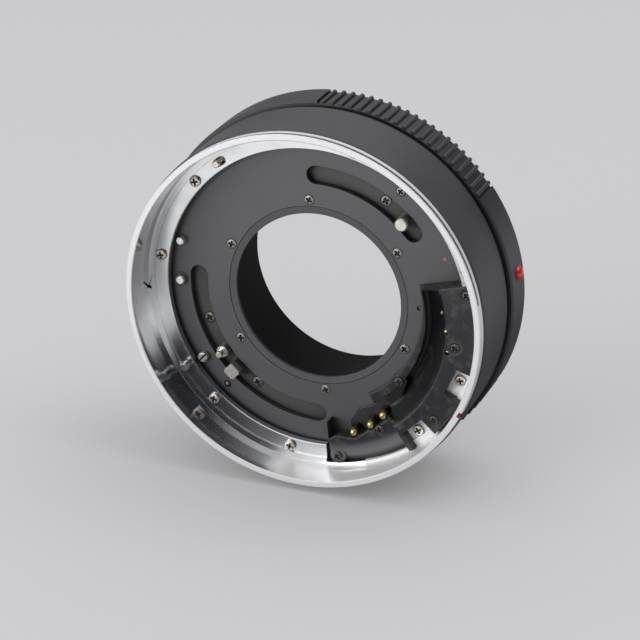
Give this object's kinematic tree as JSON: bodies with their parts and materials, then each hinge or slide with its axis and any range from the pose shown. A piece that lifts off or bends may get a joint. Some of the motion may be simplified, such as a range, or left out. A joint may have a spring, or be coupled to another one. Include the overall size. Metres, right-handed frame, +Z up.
{
  "type": "lens extension tube",
  "caption": "Extension tube for a breech-lock lens mount, with a plated lens seat, gilt contacts, shutter drive pins in arc slots, a light baffle and a turning locking ring.",
  "frame": {"origin": "centre of the camera-side seat, on the axis of the spigot", "axes": "+Y along the light path from the lens to the camera, -Y towards the lens, +Z up as in the picture, +X to the right seen from the lens side"},
  "size_m": [0.1037, 0.0447, 0.1032],
  "materials": {
    "baffle_black": "matte black painted",
    "barrel_black": "black satin anodised",
    "brass_raw": "turned",
    "cover_plastic": "moulded, fine grain",
    "dark_steel": "blackened",
    "dull_red_paint": "matte",
    "gilt": "gold plated",
    "insulator_plastic": "moulded",
    "pin_steel": "polished",
    "plate_black": "matte black painted",
    "plated": "bright plated",
    "red_paint": "glossy",
    "ribbon_film": "satin film",
    "ring_black": "black satin anodised",
    "screw_steel": "satin"
  },
  "bodies": {
    "tube": {"lens_mount_ring": "plated", "mount_ring_screws": "screw_steel", "lens_index_mark": "red_paint", "ring_wall_key": "dark_steel", "barrel": "barrel_black", "locking_ring_retainer": "dark_steel", "locking_ring_stop": "pin_steel", "face_plate": "plate_black", "face_plate_index": "dull_red_paint", "face_plate_screws": "screw_steel", "baffle_tube": "baffle_black", "plate_pillars": "brass_raw", "cocking_ring_keeper": "brass_raw", "rod_bush": "dark_steel", "slotted_adjuster": "pin_steel", "detent_cup": "brass_raw", "contact_cover": "cover_plastic", "contact_cover_screws": "dark_steel", "contact_insulator": "insulator_plastic", "contact_sleeves": "gilt", "camera_seat_ring": "plated", "seat_ring_screws": "screw_steel", "rear_plate": "plate_black", "rear_plate_screws": "screw_steel", "terminal_block": "insulator_plastic", "terminal_pads": "gilt", "contact_ribbon": "ribbon_film"},
    "locking": {"locking_ring": "ring_black", "locking_ring_index": "red_paint"},
    "drive": {"cocking_ring": "dark_steel", "cocking_ring_screws": "screw_steel", "round_cocking_pin": "pin_steel", "square_drive_pin": "pin_steel", "stepped_stud": "pin_steel", "stud_pin": "pin_steel", "drive_posts": "brass_raw", "rear_drive_ring": "dark_steel"},
    "rod_upper": {"release_rod_upper": "pin_steel"},
    "rod_lower": {"release_rod_lower": "pin_steel"},
    "sense": {"lens_sense_pin": "pin_steel"},
    "interlock": {"interlock_slider": "pin_steel"},
    "ball": {"detent_ball": "pin_steel"},
    "pin_a": {"contact_pin_a": "gilt"},
    "pin_b": {"contact_pin_b": "gilt"},
    "pin_c": {"contact_pin_c": "gilt"},
    "small_a": {"small_contact_a": "gilt"},
    "small_b": {"small_contact_b": "gilt"},
    "small_c": {"small_contact_c": "gilt"}
  },
  "joints": [
    {"name": "locking_ring_turn", "type": "hinge", "parent": "tube", "child": "locking", "pos_m": [0, 0, 0], "axis": [0, 1, 0], "range_deg": [0, 35]},
    {"name": "cocking_turn", "type": "hinge", "parent": "tube", "child": "drive", "pos_m": [0, 0, 0], "axis": [0, -1, 0], "range_deg": [-5, 44]},
    {"name": "interlock_turn", "type": "hinge", "parent": "tube", "child": "interlock", "pos_m": [0, 0, 0], "axis": [0, 1, 0], "range_deg": [0, 1.8], "stiffness_Nm_per_rad": 0.6, "springref_deg": -5.73},
    {"name": "release_rod_upper_push", "type": "slide", "parent": "tube", "child": "rod_upper", "axis": [0, 1, 0], "range_m": [0, 0.002], "stiffness_N_per_m": 400, "springref_m": -0.002},
    {"name": "release_rod_lower_push", "type": "slide", "parent": "tube", "child": "rod_lower", "axis": [0, 1, 0], "range_m": [0, 0.002], "stiffness_N_per_m": 400, "springref_m": -0.002},
    {"name": "lens_sense_push", "type": "slide", "parent": "tube", "child": "sense", "axis": [0, 1, 0], "range_m": [0, 0.0015], "stiffness_N_per_m": 400, "springref_m": -0.002},
    {"name": "detent_ball_push", "type": "slide", "parent": "tube", "child": "ball", "axis": [0, 1, 0], "range_m": [0, 0.0004], "stiffness_N_per_m": 400, "springref_m": -0.002},
    {"name": "contact_pin_a_push", "type": "slide", "parent": "tube", "child": "pin_a", "axis": [0, 1, 0], "range_m": [0, 0.0012], "stiffness_N_per_m": 400, "springref_m": -0.002},
    {"name": "contact_pin_b_push", "type": "slide", "parent": "tube", "child": "pin_b", "axis": [0, 1, 0], "range_m": [0, 0.0012], "stiffness_N_per_m": 400, "springref_m": -0.002},
    {"name": "contact_pin_c_push", "type": "slide", "parent": "tube", "child": "pin_c", "axis": [0, 1, 0], "range_m": [0, 0.0012], "stiffness_N_per_m": 400, "springref_m": -0.002},
    {"name": "small_contact_a_push", "type": "slide", "parent": "tube", "child": "small_a", "axis": [0, 1, 0], "range_m": [0, 0.0005], "stiffness_N_per_m": 400, "springref_m": -0.002},
    {"name": "small_contact_b_push", "type": "slide", "parent": "tube", "child": "small_b", "axis": [0, 1, 0], "range_m": [0, 0.0005], "stiffness_N_per_m": 400, "springref_m": -0.002},
    {"name": "small_contact_c_push", "type": "slide", "parent": "tube", "child": "small_c", "axis": [0, 1, 0], "range_m": [0, 0.0005], "stiffness_N_per_m": 400, "springref_m": -0.002}
  ]
}
